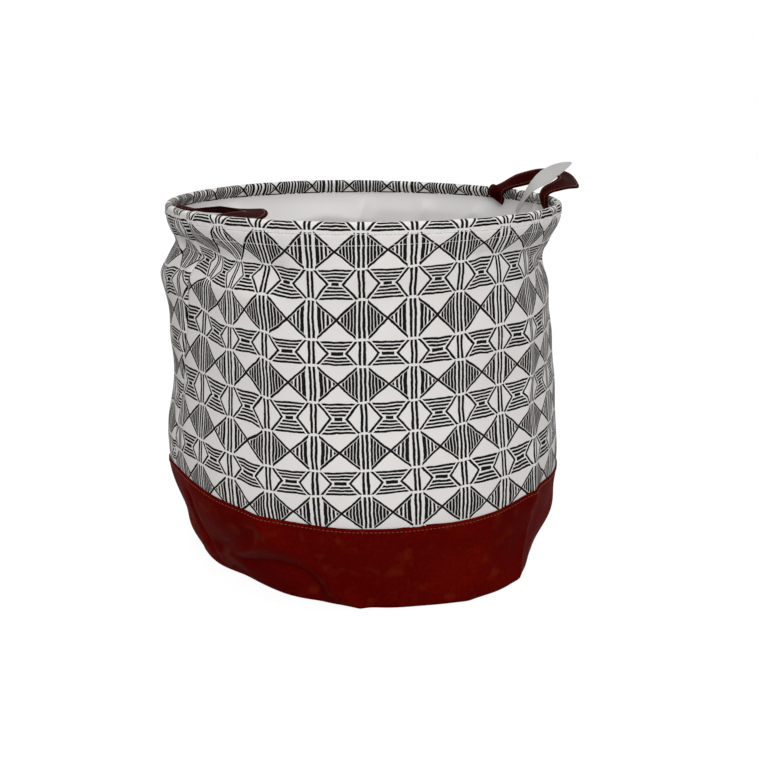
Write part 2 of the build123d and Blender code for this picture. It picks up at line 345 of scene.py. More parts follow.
def noise(place, scale, detail=2.0, output=0):
    """Noise at a place, with its scale in waves for each metre."""
    return place.node("ShaderNodeTexNoise", {"Vector": place, "Scale": scale, "Detail": detail}, None, output)


def bump(shader, height, distance, strength):
    """Feeds a height, 0 to 1, to a shader's normal."""
    raised = {"Height": height, "Distance": distance, "Strength": strength}
    height.node("ShaderNodeBump", raised).into(shader.inputs["Normal"])


def leather(name, red, dark, worn):
    """Dark leather-look cloth: fine pebble grain, cloudy colour, rubbed patches and hardly any shine."""
    made, shader, start = material(name, Specular_IOR_Level=0.004)
    place = start.node("ShaderNodeTexCoord", output="Object")
    cloud = noise(place, scale=16.0, detail=3.0)
    rub = noise(place, scale=55.0, detail=4.0)
    grain = start.node("ShaderNodeTexVoronoi", {"Vector": place, "Scale": 900.0}, {"feature": "F1"})
    fine = noise(place, scale=1600.0)
    mottle = noise(place, scale=330.0)
    tone = ((cloud - 0.35) * 1.8 + (mottle - 0.5) * 1.4).share().between(dark, red)
    (((rub - 0.55) * 3.2).share() * 0.5).between(tone, worn).into(shader.inputs["Base Color"])
    (0.46 + 0.16 * cloud + 0.10 * grain).into(shader.inputs["Roughness"])
    bump(shader, grain * 0.75 + fine * 0.25, distance=0.0004, strength=0.35)
    return made


foot_leather = leather("foot_leather", LEATHER_RED, LEATHER_DARK, LEATHER_WORN)
for half in ("front", "back"):
    turn, height = half_grid(half == "front", FLOOR_GAP, band_height, rows=56, columns=320)
    height = FLOOR_GAP + (band_edge(turn) - FLOOR_GAP) * (height - FLOOR_GAP) / (band_height - FLOOR_GAP)
    points = round_points(turn, wall(turn, height) + LEATHER_FACE - foot_turn(height), height)
    band = grid_piece(f"leather_{half}", points, wall_chart(turn, height))
    make_cloth(band, LEATHER_THICK, foot_leather)
    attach(band, "base")
    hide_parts(f"leather_{half}_band")

disc_turns = np.linspace(0.0, 360.0, 240, endpoint=False)
foot_edge = wall(disc_turns, np.full_like(disc_turns, FLOOR_GAP)) - FOOT_ROUND
outline = round_points(disc_turns, foot_edge + LEATHER_FACE + BOTTOM_LAP, FLOOR_GAP)
bottom = disc_piece("leather_bottom", outline[:, :2], BOTTOM_TOP, dish=0.0)
make_cloth(bottom, LEATHER_THICK, foot_leather)
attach(bottom, "base")
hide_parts("leather_base")

# The canvas wall: a front and a back panel of off-white cotton canvas, screen printed in black with rows of
# hatched triangles and bow shapes between double lines. The panels meet at the side seams, tuck behind the
# leather at the foot and end under the hem, and buckle in soft folds below it.
CANVAS_THICK = 0.0010
CANVAS_LOW = 0.110  # lower edge at the left side seam, from where it dips to the front and the back
CANVAS_LAP = 0.004  # canvas behind the leather's top edge
CANVAS_TUCK = 0.0002  # canvas above the hem's lower edge
CANVAS_PINCH = 0.0016  # depth of the side seams
CANVAS_PINCH_WIDTH = 0.0024
CANVAS_WHITE = (0.735, 0.712, 0.690, 1.0)
CANVAS_SHADE = (0.655, 0.633, 0.614, 1.0)
INK = (0.0040, 0.0036, 0.0036, 1.0)
canvas_top = hem_bottom + CANVAS_TUCK

# Sizes of the print, all in millimetres. A line's width is given as half of it.
THREAD_PITCH = 1.3  # of the canvas weave
PRINT_PITCH = 46.4  # from one column of double lines to the next
PRINT_COLUMNS = 27  # round the whole bin
PRINT_PERIOD = 120.2  # two rows of triangles and the two rows of bows between them
TALL_BOW = 29.0  # height of a row of tall bows
LOW_BOW = 23.8  # and of low ones
BOW_MIDDLE = 45.5  # from the hem down to the middle of the first row of tall bows
SOFT = 0.35  # soft edge of the ink
LINE = 1.26  # of the double lines
COLUMN_LINES = 2.0  # each of the double lines from the middle of its column
ROW_GAP = 1.15  # the double lines stop this far from a row's edge
THIN_LINE = 1.08  # of a bow's bent lines and a triangle's sides
BAR_LINE = 1.04  # of a bow's bars
BLOCK_LINE = 1.55  # of the block in a bow's middle
BAR_GAP = 3.0  # from a bent line to the ends of the bars
BEND_PAST = 0.9  # a bent line runs on past the last bar
TRIANGLE_HEIGHT = 14.8  # half the length of a triangle's upright base
TRIANGLE_BASE = 5.8  # its base from the middle of the column
TRIANGLE_START = 5.2  # the ends of its sides from there
HATCH_GAP = 2.0  # from the hatching to a triangle's sides
CLOSE_HATCH = {"first": 4.6, "last": 19.8, "pitch": 3.0}
CLOSE_LINE = 1.18
OPEN_HATCH = {"first": 6.2, "last": 21.4, "pitch": 3.8}
OPEN_LINE = 1.15
BOLD_MORE = 0.60  # of the open hatching's line next to the column
BOLD_END = 10.0
# A bow's shape: its bent line's place at mid-height and its lean, its bars' places from mid-height up, and
# half the length of its block
TALL_SHAPE = {"apex": 15.9, "lean": 1.24, "first": 3.5, "spacing": 3.22, "last": 13.2, "block": 3.7}
LOW_SHAPE = {"apex": 14.5, "lean": 1.15, "first": 3.9, "spacing": 3.0, "last": 9.9, "block": 5.7}
SWAY = 2.6  # of a line drawn by hand, over centimetres
SHAKE = 0.9  # and over a few millimetres
CATCH_STITCH = 9.5  # from the hem down to the white thread that catches its edge
CATCH_PITCH = 3.0
CATCH_LENGTH = 1.2
CATCH_THREAD = 0.30

# Where the print lies on the panels: turns in degrees, and lengths in metres
FRONT_COLUMN = 222.4  # turn of a column of the front panel, under the hem
BACK_COLUMN = 15.0  # and on the back panel
BACK_DROP = 0.0224  # of the back panel's print below the front's
PANEL_DROP = 0.28  # from the hem down to the foot
DRIFT = (0.006, 250.0, 50.0)  # sideways at the foot, at a turn, and its growth to the left
TILT = (0.0042, 248.0, 28.0, 0.018)  # up or down at the sides: turn, spread, start under the hem
FOOT_TILT = (0.005, 264.0, 22.0, 0.20, 0.05)  # back up near the foot: turn, spread, length down, its spread
LEVEL = (0.7, 0.115, 0.040)  # share of the tilt lost at mid-wall: length down, spread
LIFT = (0.003, 0.055, 0.025)  # upwards: length down, spread
# The print drawn sideways and up into the fold at the left: length, first turn and spread, and the lengths
# down over which it grows, holds and dies away
DRAWN_IN = (0.034, 222.0, 22.0, 0.035, 0.04, 0.06)
DRAWN_UP = (0.012, 210.0, 14.0, 0.03, 0.08, 0.08)
print_radius = PRINT_PITCH * PRINT_COLUMNS / (2 * math.pi * 1000)


def stroke(distance, half_width):
    """Ink of a stroke: full inside its half width, with a soft edge."""
    return ((half_width - distance) / SOFT + 0.5).share()


def bow_row(up, column, apex, lean, first, spacing, last, block):
    """A row of bows: bars that shorten towards a block at mid-height, between two bent lines."""
    bend = apex - up / lean
    bent_line = stroke(abs(column - bend) * (lean / math.hypot(lean, 1.0)), THIN_LINE)
    bent_line = bent_line * (up < last + BEND_PAST)
    bars = stroke(abs((up - first + spacing / 2) % spacing - spacing / 2), BAR_LINE)
    bars = bars * (up > first - spacing / 2) * (up < last + spacing / 2) * stroke(bend + BAR_GAP, column)
    middle = stroke(up, BLOCK_LINE) * stroke(PRINT_PITCH / 2 - column, block)
    return bent_line.most(bars).most(middle)


def hatch(column, half_width, first, last, pitch):
    """Upright lines at a pitch, between two distances from the middle of the column."""
    return stroke(abs((column - first) % pitch - pitch / 2), half_width) * (column > first) * (column < last)


def print_ink(across, down):
    """Ink of the print, 0 to 1, at millimetres across the cloth and down from the hem."""
    half = PRINT_PITCH / 2
    from_close = abs((across + PRINT_PITCH) % (2 * PRINT_PITCH) - PRINT_PITCH)
    column = from_close.least(PRINT_PITCH - from_close)
    bow = abs((down - BOW_MIDDLE + PRINT_PERIOD / 2) % PRINT_PERIOD - PRINT_PERIOD / 2)
    tall_end = TALL_BOW / 2
    low_end = PRINT_PERIOD / 2 - LOW_BOW / 2
    up = abs(bow - (tall_end + low_end) / 2)

    lean = TRIANGLE_HEIGHT / (half - TRIANGLE_BASE)
    limb = (half - column) * lean
    cross = stroke(abs(up - limb) / math.hypot(lean, 1.0), THIN_LINE) * (column > TRIANGLE_START)
    close_lines = hatch(column, CLOSE_LINE, **CLOSE_HATCH)
    open_lines = hatch(column, (column < BOLD_END) * BOLD_MORE + OPEN_LINE, **OPEN_HATCH)
    near_close = from_close < half
    hatching = close_lines * near_close + open_lines * (1.0 - near_close)
    triangles = cross.most(hatching * stroke(up + HATCH_GAP, limb)) * (bow > tall_end) * (bow < low_end)

    tall = bow_row(bow, column, **TALL_SHAPE) * (bow < tall_end)
    low = bow_row(PRINT_PERIOD / 2 - bow, column, **LOW_SHAPE) * (bow > low_end)
    row_edge = abs(bow - tall_end).least(abs(bow - low_end))
    lines = stroke(abs(column - COLUMN_LINES), LINE) * stroke(ROW_GAP, row_edge)
    return lines.most(triangles).most(tall).most(low)


def printed_canvas():
    """Off-white plain-weave canvas with the print drawn by hand, so that its lines waver and swell."""
    made, shader, start = material("printed_canvas", Specular_IOR_Level=0.02)
    chart = start.node("ShaderNodeUVMap", None, {"uv_map": "cloth"})
    parts = chart.node("ShaderNodeVectorMath", {0: chart, 3: 1000.0}, {"operation": "SCALE"})
    across = parts.axis(0)
    down = parts.axis(1)
    sway = noise(chart, scale=62.0, detail=1.0, output=1)
    shake = noise(chart, scale=340.0, detail=2.0, output=1)
    drawn = []
    for i, place in enumerate((across, down)):
        drawn.append(place + (sway.axis(i) - 0.5) * SWAY + (shake.axis(i) - 0.5) * SHAKE)
    sewn = stroke(abs(across % CATCH_PITCH - CATCH_PITCH / 2), CATCH_LENGTH)
    sewn = stroke(abs(down - CATCH_STITCH), CATCH_THREAD) * sewn
    ink = print_ink(*drawn) * (1.0 - sewn * 0.8)
    warp = (across * (2 * math.pi / THREAD_PITCH)).sine()
    weft = (down * (2 * math.pi / THREAD_PITCH)).sine()
    weave = warp * weft * 0.5 + 0.5
    slub = noise(chart, scale=900.0, detail=3.0)
    cloud = noise(chart, scale=30.0, detail=3.0)
    cloth = (cloud * 0.6 + weave * 0.25 + slub * 0.25).share().between(CANVAS_SHADE, CANVAS_WHITE)
    (ink * 0.993).between(cloth, INK).into(shader.inputs["Base Color"])
    (0.90 - ink * 0.18).into(shader.inputs["Roughness"])
    bump(shader, weave * 0.7 + slub * 0.3, distance=0.00022, strength=0.40)
    return made


def drawn_into_fold(turn, below, length, first, spread, grow, hold, die):
    """How far the print is drawn into the fold under the hem at the left."""
    growing = ease((first - turn) / spread) * ease(below / grow)
    return length * growing * np.exp(-np.maximum(below - hold, 0.0) / die)


def print_place(turn, down, front):
    """Metres across and down the print, at a turn and a length down from the hem. The panels were cut from
    different places of the cloth, and the front one hangs twisted, so that its print drifts and tilts."""
    if not front:
        return np.stack([np.radians(turn - BACK_COLUMN) * print_radius, down - BACK_DROP], axis=-1)
    below = np.maximum(down, 0.0)
    drift, at_turn, growth = DRIFT
    across = np.radians(turn - FRONT_COLUMN) * print_radius
    across -= drift * np.exp((at_turn - turn) / growth) * (below / PANEL_DROP) ** 2
    across -= drawn_into_fold(turn, below, *DRAWN_IN)
    rise, at_turn, turn_spread, start = TILT
    tilt = rise * np.tanh((turn - at_turn) / turn_spread) * ease(below / start)
    rise, at_turn, turn_spread, at_length, spread = FOOT_TILT
    tilt -= rise * ease((turn - at_turn) / turn_spread) * ease((below - at_length) / spread)
    level, at_length, spread = LEVEL
    tilt *= 1.0 - level * bell(below - at_length, spread)
    rise, at_length, spread = LIFT
    lift = rise * bell(below - at_length, spread) + drawn_into_fold(turn, below, *DRAWN_UP)
    return np.stack([across, down + tilt + lift], axis=-1)


def down_from_top(points):
    """Length along the cloth from its top row, for each point of a grid."""
    steps = np.linalg.norm(np.diff(points, axis=0), axis=2)
    return np.concatenate([np.cumsum(steps[::-1], axis=0)[::-1], np.zeros((1, points.shape[1]))])


canvas_cloth = printed_canvas()
collapse = next(joint for joint in frame["joints"] if joint["name"] == "rim_collapse")
travel = -collapse["range_m"][0]
keep_share = 1.0 - travel / (hem_bottom - band_height)
for half in ("front", "back"):
    front = half == "front"
    turn, height = half_grid(front, CANVAS_LOW, canvas_top, rows=112, columns=260)
    left_seam = seam_turn(height)
    from_seam = np.minimum(turn - left_seam, 360.0 - turn) if front else np.minimum(turn, left_seam - turn)
    pinch = CANVAS_PINCH * bell(from_seam * degree_length, CANVAS_PINCH_WIDTH)
    low = band_edge(turn) - CANVAS_LAP
    height = low + (canvas_top - low) * (height - CANVAS_LOW) / (canvas_top - CANVAS_LOW)
    points = round_points(turn, wall(turn, height) - pinch, height)
    chart = print_place(turn, down_from_top(points), front)
    panel = grid_piece(f"canvas_{half}", points, chart)
    make_cloth(panel, CANVAS_THICK, canvas_cloth)
    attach(panel, "base")
    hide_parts(f"canvas_{half}_panel")
    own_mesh(panel)

# The band's topstitching: a line of brown thread just under the leather's top edge, which sews the band over
# the canvas. Each stitch is a short pillow of thread pulled into the leather.
BAND_STITCH = {"pitch": 0.0040, "length": 0.0029, "width": 0.0008}
THREAD_STAND = 0.20  # share of the thread's width from the leather out to its middle
STITCH_INSET = 0.0031  # from the leather's top edge
BROWN_THREAD = (0.135, 0.031, 0.012, 1.0)


def shade(colour, share):
    """A colour made paler or duller."""
    return tuple(c * share for c in colour[:3]) + (1.0,)


def thread(name, colour):
    """Twisted sewing thread: a plain colour with the fine ridges of its plies."""
    made, shader, start = material(name, Roughness=0.62, Specular_IOR_Level=0.30)
    place = start.node("ShaderNodeTexCoord", output="Object")
    ply = noise(place, scale=2600.0)
    ply.between(colour, shade(colour, 1.35)).into(shader.inputs["Base Color"])
    bump(shader, ply, distance=0.0002, strength=0.5)
    return made


def stitch_tree():
    """Lays a pillow of thread at each pitch along the lines of a mesh."""
    tree = bpy.data.node_groups.new("stitches", "GeometryNodeTree")
    kinds = {"Lines": "Geometry", "Pitch": "Float", "Length": "Float", "Width": "Float", "Thread": "Material"}
    for name, kind in kinds.items():
        tree.interface.new_socket(name, in_out="INPUT", socket_type=f"NodeSocket{kind}")
    tree.interface.new_socket("Stitches", in_out="OUTPUT", socket_type="NodeSocketGeometry")
    inputs = tree.nodes.new("NodeGroupInput").outputs
    lines, pitch, length, width, dye = [Value(tree, inputs[name]) for name in kinds]
    curve = lines.node("GeometryNodeMeshToCurve", {0: lines})
    spaced = curve.node("GeometryNodeResampleCurve", {"Curve": curve, "Length": pitch}, {"mode": "LENGTH"})
    pillow = lines.node("GeometryNodeMeshUVSphere", {"Segments": 6, "Rings": 5, "Radius": 0.5})
    size = width.node("ShaderNodeCombineXYZ", {"X": length, "Y": width, "Z": width})
    sized = pillow.node("GeometryNodeTransform", {"Geometry": pillow, "Scale": size})
    tangent = spaced.node("GeometryNodeInputTangent")
    turned = tangent.node("FunctionNodeAlignRotationToVector", {"Vector": tangent}, {"axis": "X"})
    places = {"Points": spaced, "Instance": sized, "Rotation": turned}
    laid = spaced.node("GeometryNodeInstanceOnPoints", places)
    real = laid.node("GeometryNodeRealizeInstances", {"Geometry": laid})
    dyed = real.node("GeometryNodeSetMaterial", {"Geometry": real, "Material": dye})
    dyed.into(tree.nodes.new("NodeGroupOutput").inputs["Stitches"])
    return tree


def stitch_piece(name, lines, thread_material, pitch, length, width):
    """Stitches along lines of points, as one plain mesh."""
    points = []
    edges = []
    for line in lines:
        edges += [(len(points) + i, len(points) + i + 1) for i in range(len(line) - 1)]
        points += line
    piece = mesh_piece(name, points, [], edges)
    modifier = piece.modifiers.new("stitches", "NODES")
    modifier.node_group = stitches
    given = {"Pitch": pitch, "Length": length, "Width": width, "Thread": thread_material}
    for item in stitches.interface.items_tree:
        if item.name in given:
            modifier[item.identifier] = given[item.name]
    evaluated = piece.evaluated_get(bpy.context.evaluated_depsgraph_get())
    made = bpy.data.meshes.new_from_object(evaluated)
    piece.modifiers.remove(modifier)
    piece.data = made
    made.shade_smooth()
    return piece


stitches = stitch_tree()
round_turns = np.linspace(0.0, 360.0, 721)
stitch_height = band_edge(round_turns) - STITCH_INSET
stitch_radius = wall(round_turns, stitch_height) + LEATHER_FACE + BAND_STITCH["width"] * THREAD_STAND
band_line = round_points(round_turns, stitch_radius, stitch_height).tolist()
brown_thread = thread("brown_thread", BROWN_THREAD)
band_stitches = stitch_piece("band_stitches", [band_line], brown_thread, **BAND_STITCH)
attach(band_stitches, "base")
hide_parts("band_topstitch")

# The liner: a bag of pale grey coated cloth that hangs inside the canvas from the hem, with seams down its
# two sides and a round bottom that lies on the leather. It is made as an upper and a lower part, and its
# lower part stands inside the leather.
LINER_THICK = 0.0006
LINER_GAP = 0.0006  # to the canvas
LINER_LOW = 0.0040  # height of the liner's bottom
LINER_TOP_GAP = 0.0013  # from the hem's lower edge down to the liner's top
LINER_UPRIGHT = 0.0045  # sewn edge under the hem, which stands upright
LINER_HIDDEN = 0.003  # upper part below the leather's top edge
LINER_LAP = 0.004  # lower part above it, inside the upper part
LAP_STEP = 0.0013  # lower part's top edge inwards, clear of the upper part
STEP_START = 0.014  # from the top edge down to the start of the step
STEP_RUN = 0.007
LINER_PINCH = 0.0019  # depth of the side seams
LINER_PINCH_WIDTH = 0.0030
LINER_DISC_LAP = 0.0004
LINER_DISH = 0.0012
FOLD_FADE = 0.012  # height below the hem over which the folds begin
LINER_PALE = (0.680, 0.664, 0.650, 1.0)
LINER_SHADE = (0.610, 0.596, 0.583, 1.0)
# Folds that hang in from the wall: depth, half width, sharpness, and a line of turns and heights
LINER_FOLDS = [
    (0.0075, 0.009, 1.2, [(70, 0.352), (73, 0.32), (79, 0.27), (80, 0.2)]),
    (0.007, 0.009, 1.2, [(48, 0.346), (53, 0.315), (61, 0.27), (63, 0.22)]),
    (0.0065, 0.01, 1.2, [(118, 0.35), (112, 0.318), (108, 0.28)]),
    (0.005, 0.009, 1.2, [(28, 0.345), (36, 0.325), (41, 0.29)]),
]
liner_offset = -CANVAS_THICK - LINER_GAP


def liner_material():
    """Coated lining cloth: nearly plain, with a fine surface and a faint satin shine."""
    made, shader, start = material("liner_cloth", Specular_IOR_Level=0.30)
    place = start.node("ShaderNodeTexCoord", output="Object")
    cloud = noise(place, scale=14.0, detail=3.0)
    fine = noise(place, scale=1400.0)
    cloud.between(LINER_SHADE, LINER_PALE).into(shader.inputs["Base Color"])
    (0.58 + 0.14 * cloud).into(shader.inputs["Roughness"])
    bump(shader, fine, distance=0.0002, strength=0.30)
    return made


liner_cloth = liner_material()


def liner_ring(name, low, high, rows, step):
    """A ring of the liner between two heights, pinched in at its side seams and stepped in at its top."""
    turn, height = np.meshgrid(np.linspace(0.0, 360.0, 361), np.linspace(low, high, rows))
    from_seam = np.minimum(abs(turn_from(turn, 0.0)), abs(turn_from(turn, seam_turn(height))))
    pinch = LINER_PINCH * bell(from_seam * degree_length, LINER_PINCH_WIDTH)
    upright = np.where(height > hem_bottom - LINER_UPRIGHT, hem_bottom, height)
    radius = wall(turn, upright) + liner_offset - foot_turn(height - LINER_LOW) - pinch
    radius -= step * ease((height - high + STEP_START) / STEP_RUN)
    for fold in LINER_FOLDS:
        radius -= crease(turn, height, *fold) * ease((hem_bottom - height) / FOLD_FADE)
    points = round_points(turn, radius, height)
    points[:, -1] = points[:, 0]
    ring = grid_piece(name, points, wall_chart(turn, height))
    loop = bmesh.new()
    loop.from_mesh(ring.data)
    bmesh.ops.remove_doubles(loop, verts=loop.verts, dist=1e-6)
    loop.to_mesh(ring.data)
    loop.free()
    make_cloth(ring, LINER_THICK, liner_cloth)
    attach(ring, "base")
    return ring


liner_top = hem_bottom - LINER_TOP_GAP
upper_liner = liner_ring("liner_upper", band_height - LINER_HIDDEN, liner_top, rows=90, step=0.0)
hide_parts("liner_front_panel", "liner_back_panel")
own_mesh(upper_liner)
lower_liner = liner_ring("liner_lower", LINER_LOW, band_height + LINER_LAP, rows=36, step=LAP_STEP)
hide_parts("liner_front_panel", "liner_back_panel")
outline = round_points(disc_turns, foot_edge + liner_offset + LINER_DISC_LAP, FLOOR_GAP)
liner_floor = disc_piece("liner_floor", outline[:, :2], LINER_LOW, LINER_DISH)
make_cloth(liner_floor, LINER_THICK, liner_cloth)
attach(liner_floor, "base")
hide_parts("liner_base")

# The hoop in the hem: a ring of sprung steel wire that keeps the mouth round, its two ends joined at the back
# by a crimped sleeve. Both lie hidden inside the hem.
SPRING_STEEL = (0.50, 0.50, 0.52, 1.0)
SLEEVE_STEEL = (0.58, 0.56, 0.52, 1.0)


def steel(name, colour, roughness):
    """Drawn steel with fine scratches."""
    made, shader, start = material(name, Metallic=1.0)
    place = start.node("ShaderNodeTexCoord", output="Object")
    scratch = noise(place, scale=700.0, detail=4.0)
    scratch.between(shade(colour, 0.7), colour).into(shader.inputs["Base Color"])
    (roughness + 0.2 * scratch).into(shader.inputs["Roughness"])
    bump(shader, scratch, distance=0.0001, strength=0.3)
    return made


for node, finish in (
    ("hoop_wire", steel("spring_wire", SPRING_STEEL, roughness=0.22)),
    ("hoop_ferrule", steel("crimped_sleeve", SLEEVE_STEEL, roughness=0.34)),
):
    wire = frame["nodes"][node]
    wire.data.materials.clear()
    wire.data.materials.append(finish)

# The hem: the canvas itself, turned over the hoop to the inside and sewn down just under it, so that the
# print runs on up over the fold. It puckers a little where the cloth is eased round the wire, and stands
# slack above it at the back.
FOLD_RADIUS = 0.0038  # of the cloth round the hoop
HEM_PINCH = 0.0023  # from the rim's outside in to the seam that closes the hem
HEM_ROWS = 8  # of points up each of its flat faces
FOLD_ROWS = 20
BACK_SLACK = 0.0028  # height of the slack
BACK_TURN = 90.0
BACK_SPREAD = 42.0
SLACK_FULL = 0.008  # height in the hem at which it is full
PUCKER_DEPTH = 0.00030
PUCKERS = 95  # round the whole hem, crowded and spread by a slower wave
PUCKER_CROWDS = 11
PUCKER_PLACE = 0.002  # length up the cloth from the hem's lower edge
PUCKER_SPREAD = 0.004
HEM_SWAY = 0.0004
HEM_SWAYS = 9
bin_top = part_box("hem_front_casing")[1][2]
hoop_radius = rim_radius - FOLD_RADIUS
hoop_height = bin_top - FOLD_RADIUS
pinch_radius = rim_radius - HEM_PINCH
seam_out = pinch_radius - hoop_radius
seam_up = hem_bottom - hoop_height
leave = math.atan2(seam_up, seam_out) - math.acos(FOLD_RADIUS / math.hypot(seam_out, seam_up)) + 2 * math.pi


def hem_profile():
    """Radii and heights of the hem's outer face, from its lower edge over the fold to the seam inside."""
    arc = np.linspace(0.0, leave, FOLD_ROWS)
    outer_radius = rim_radius - HEM_PROUD * (1.0 - ease(np.linspace(0.0, 2.0, HEM_ROWS)))
    outer_height = np.linspace(hem_bottom, hoop_height, HEM_ROWS, endpoint=False)
    fold = (hoop_radius, hoop_height) + FOLD_RADIUS * np.column_stack([np.cos(arc), np.sin(arc)])
    inner = fold[-1] + ((pinch_radius, hem_bottom) - fold[-1]) * np.linspace(0.0, 1.0, HEM_ROWS)[1:, None]
    return np.concatenate([np.column_stack([outer_radius, outer_height]), fold, inner])


def length_shares(path):
    """Share of a path's length at each of its points, and the whole length."""
    lengths = np.concatenate([[0.0], np.cumsum(np.linalg.norm(np.diff(path, axis=0), axis=1))])
    return lengths / lengths[-1], lengths[-1]


profile = hem_profile()
hem_radius, hem_height = profile[:, :1], profile[:, 1:]
shares, hem_length = length_shares(profile)
shares_up = shares[:, None]
hem_up = shares_up * hem_length
for half in ("front", "back"):
    front = half == "front"
    turn, _ = half_grid(front, hem_bottom, hem_bottom, rows=len(hem_up), columns=420)
    angle = np.radians(turn)
    pucker = PUCKER_DEPTH * np.sin(angle * PUCKERS + 2.0 * np.sin(angle * PUCKER_CROWDS))
    pucker = pucker * bell(hem_up - PUCKER_PLACE, PUCKER_SPREAD)
    sway = HEM_SWAY * np.sin(angle * HEM_SWAYS + 1.0) * shares_up
    slack = BACK_SLACK * bell(turn_from(turn, BACK_TURN), BACK_SPREAD)
    rise = slack * ease((hem_height - hem_bottom) / SLACK_FULL) - abs(sway) * 0.5
    points = round_points(turn, hem_radius + pucker + sway * 0.5, hem_height + rise)
    hem = grid_piece(f"hem_{half}", points, print_place(turn, 0.0 * turn - hem_up, front))
    make_cloth(hem, CANVAS_THICK, canvas_cloth)
    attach(hem, "rim")
    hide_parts(f"hem_{half}_casing")

# The hem's topstitching: one line of white thread round the outside, just above the hem's lower edge.
# It closes the casing under the hoop and holds the liner and the strap ends.
HEM_STITCH = {"pitch": 0.0034, "length": 0.0027, "width": 0.0007}
HEM_STITCH_RISE = 0.0007
WHITE_THREAD = (0.70, 0.68, 0.66, 1.0)
stitch_radius = rim_radius + HEM_STITCH["width"] / 2
hem_line = round_points(round_turns, stitch_radius, hem_bottom + HEM_STITCH_RISE).tolist()
white_thread = thread("white_thread", WHITE_THREAD)
hem_stitches = stitch_piece("hem_stitches", [hem_line], white_thread, **HEM_STITCH)
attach(hem_stitches, "rim")
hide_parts("hem_topstitch")

# The two strap handles: leather-look cloth folded to a flat strap and sewn along both edges, with both ends
# sewn into the seam under the hem. The right strap climbs the hem's inner face and droops outwards over it in
# a loose loop, and the left one falls in over the mouth and lies nearly flat.
STRAP_WIDTH = 0.025
STRAP_THICK = 0.0024
# Colours of the strap leather, far darker than the foot's leather of the same cloth: painted shade of the
# straps, with the random rubbed patches darkened by it too
STRAP_SHADED_RED = (0.028, 0.0010, 0.0007, 1.0)
STRAP_SHADED_DARK = (0.016, 0.0005, 0.0004, 1.0)
STRAP_SHADED_WORN = (0.070, 0.009, 0.005, 1.0)
STRAP_THREAD = (0.105, 0.034, 0.020, 1.0)
STRAP_STITCH = {"pitch": 0.0032, "length": 0.0024, "width": 0.0008}
STITCH_SHARE = 0.74  # of the half width out to a stitch line
STITCH_STAND = 0.40  # share of the thickness from the strap's middle to its stitches
ROOT_SHARE = 0.05  # of the length at each end, which comes straight out of the seam
ROOT_BEND = 0.08  # share of the length in which it turns to follow the loop
# The strap's section: shares of the half width and of the half thickness, with a dip under each stitch line
HALF_SECTION = [
    (1.0, 0.0), (0.985, 0.55), (0.93, 0.92), (0.85, 1.0), (0.78, 0.86), (STITCH_SHARE, 0.78), (0.70, 0.86),
    (0.62, 1.0), (0.30, 1.0), (0.0, 1.0),
]
# Control points of each loop in millimetres, from its near sewn end round to the far one
RIGHT_LOOP = [
    (182.2, -53.7, 361.6), (180.5, -52.3, 366.0), (179.7, -50.5, 372.0), (181.1, -49.7, 376.8),
    (186.0, -49.5, 381.0), (196.0, -47.5, 383.8), (208.5, -41.5, 384.8), (221.0, -29.5, 385.0),
    (232.0, -11.0, 385.6), (241.5, 12.0, 387.8), (246.0, 33.0, 391.2), (240.0, 49.0, 391.4),
    (224.0, 55.0, 386.8), (206.0, 54.0, 381.5), (192.0, 52.2, 377.3), (180.8, 52.2, 373.8),
    (179.4, 54.5, 369.8), (180.0, 57.8, 365.0), (179.9, 59.6, 361.5),
]
LEFT_LOOP = [
    (-183.2, -59.4, 362.4), (-183.0, -59.2, 365.0), (-179.0, -58.0, 366.5), (-172.0, -57.5, 367.5),
    (-159.0, -57.5, 368.0), (-144.0, -50.0, 367.2), (-127.0, -33.0, 365.5), (-114.0, -6.0, 364.8),
    (-112.5, 24.0, 364.8), (-128.0, 48.0, 362.8), (-149.0, 58.0, 362.2), (-163.0, 58.8, 363.5),
    (-172.0, 57.8, 364.8), (-179.0, 58.0, 366.5), (-183.0, 59.2, 365.0), (-183.2, 59.4, 362.4),
]
# Degrees that each strap is rolled by from lying flat, at shares of its length
RIGHT_ROLL = [
    (0.08, 0), (0.18, 8), (0.30, 22), (0.40, 22), (0.50, 14), (0.60, 0), (0.70, -20), (0.80, -22), (0.88, -8),
    (0.94, 0),
]
LEFT_ROLL = [
    (0.10, 0), (0.20, 12), (0.30, 16), (0.42, 5), (0.55, -3), (0.65, 8), (0.75, 20), (0.84, 14), (0.92, 0),
]
# Where each strap begins and ends its bend as its handle swings
LEFT_BEND = [(-0.1790, 0.0, 0.3690), (-0.1650, 0.0, 0.3710)]
RIGHT_BEND = [(0.1810, 0.0, 0.3735), (0.1850, 0.0, 0.3805)]


def smooth_path(points, steps):
    """Points in metres along a smooth line that control points in millimetres draw in, from end to end."""
    held = np.array([points[0]] * 2 + points + [points[-1]] * 2) / 1000
    out = []
    for place in np.linspace(0.0, len(held) - 3 - 1e-6, steps):
        i = int(place)
        t = place - i
        pulls = [(1 - t) ** 3, 3 * t**3 - 6 * t**2 + 4, -3 * t**3 + 3 * t**2 + 3 * t + 1, t**3]
        out.append(np.array(pulls) @ held[i : i + 4] / 6.0)
    return np.array(out)


def unit(vectors):
    """Rows of vectors, each made one long."""
    return vectors / np.linalg.norm(vectors, axis=1)[:, None]


def strap_headings(path, outwards):
    """Level headings of a strap: straight out of the bin or into it at its ends, and along it between."""
    shares, _ = length_shares(path)
    at_ends = unit(path[:, :2]) * (outwards * np.where(shares < 0.5, 1.0, -1.0))[:, None]
    run = unit(np.gradient(path[:, :2], axis=0))
    free = ease((np.minimum(shares, 1.0 - shares) - ROOT_SHARE) / ROOT_BEND)[:, None]
    return at_ends + (run - at_ends) * free


